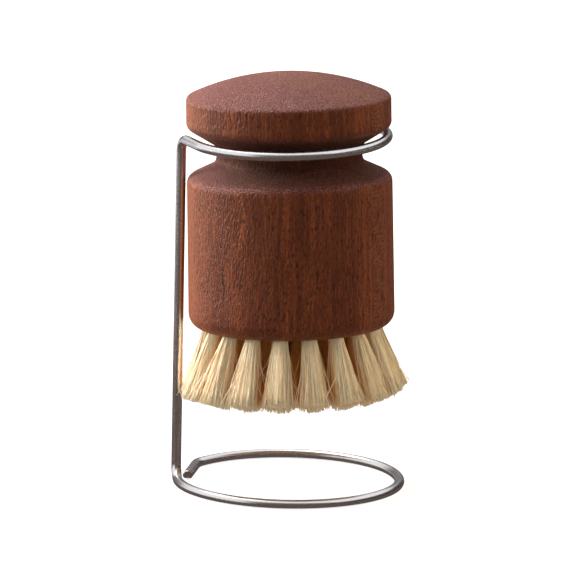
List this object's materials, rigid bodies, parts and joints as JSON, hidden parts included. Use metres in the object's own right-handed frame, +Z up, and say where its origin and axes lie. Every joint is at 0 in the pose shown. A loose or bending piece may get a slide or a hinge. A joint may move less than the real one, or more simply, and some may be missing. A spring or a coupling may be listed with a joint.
{
  "type": "dish brush",
  "caption": "Turned wooden palm brush with splayed plant-fibre tufts, hanging by its flared cap in the open ring of a bent-wire stand.",
  "frame": {"origin": "on the table, under the middle of the object's box", "axes": "+Z up, -Y towards the closed front of the cradle ring, -X towards the upright"},
  "size_m": [0.0713, 0.0733, 0.1263],
  "materials": {
    "stainless_wire": "satin round wire",
    "oiled_hardwood": "oiled, open-pored, matt",
    "plant_fibre": "natural stiff plant fibre"
  },
  "bodies": {
    "stand": {"wire_stand": "stainless_wire"},
    "brush": {"wooden_body": "oiled_hardwood", "tuft_centre": "plant_fibre", "tuft_inner_01": "plant_fibre", "tuft_inner_02": "plant_fibre", "tuft_inner_03": "plant_fibre", "tuft_inner_04": "plant_fibre", "tuft_inner_05": "plant_fibre", "tuft_inner_06": "plant_fibre", "tuft_middle_01": "plant_fibre", "tuft_middle_02": "plant_fibre", "tuft_middle_03": "plant_fibre", "tuft_middle_04": "plant_fibre", "tuft_middle_05": "plant_fibre", "tuft_middle_06": "plant_fibre", "tuft_middle_07": "plant_fibre", "tuft_middle_08": "plant_fibre", "tuft_middle_09": "plant_fibre", "tuft_middle_10": "plant_fibre", "tuft_middle_11": "plant_fibre", "tuft_middle_12": "plant_fibre", "tuft_outer_01": "plant_fibre", "tuft_outer_02": "plant_fibre", "tuft_outer_03": "plant_fibre", "tuft_outer_04": "plant_fibre", "tuft_outer_05": "plant_fibre", "tuft_outer_06": "plant_fibre", "tuft_outer_07": "plant_fibre", "tuft_outer_08": "plant_fibre", "tuft_outer_09": "plant_fibre", "tuft_outer_10": "plant_fibre", "tuft_outer_11": "plant_fibre", "tuft_outer_12": "plant_fibre", "tuft_outer_13": "plant_fibre", "tuft_outer_14": "plant_fibre", "tuft_outer_15": "plant_fibre", "tuft_outer_16": "plant_fibre", "tuft_outer_17": "plant_fibre", "tuft_outer_18": "plant_fibre"}
  },
  "joints": [
    {"name": "brush_lift_out", "type": "slide", "parent": "stand", "child": "brush", "axis": [0, 0.9613, 0.2756], "range_m": [0, 0.1]}
  ]
}
